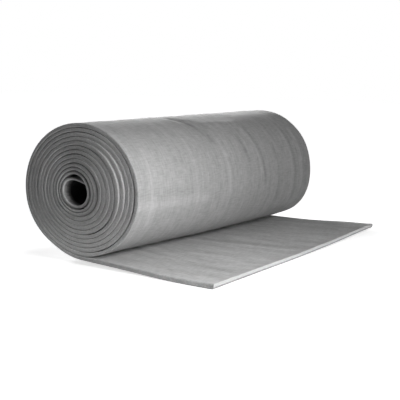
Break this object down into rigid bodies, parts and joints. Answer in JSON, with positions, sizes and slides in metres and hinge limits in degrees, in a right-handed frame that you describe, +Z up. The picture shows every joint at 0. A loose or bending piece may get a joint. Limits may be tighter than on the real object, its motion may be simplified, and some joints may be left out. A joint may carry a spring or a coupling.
{
  "type": "foam insulation roll",
  "caption": "Wide sheet of soft grey foam wound into a roll round an open bore, with its free end pulled out flat under the roll; insulates floors, walls and roofs.",
  "frame": {"origin": "middle of the footprint, on the floor that the roll and its free end lie on", "axes": "+Y along the roll's axis, +X from the roll towards the cut end of the sheet, +Z up"},
  "size_m": [0.63, 1, 0.39],
  "materials": {
    "foam": "matte closed-cell foam with a fine textile-like skin"
  },
  "bodies": {
    "root": {"foam_roll": "foam"}
  },
  "joints": []
}
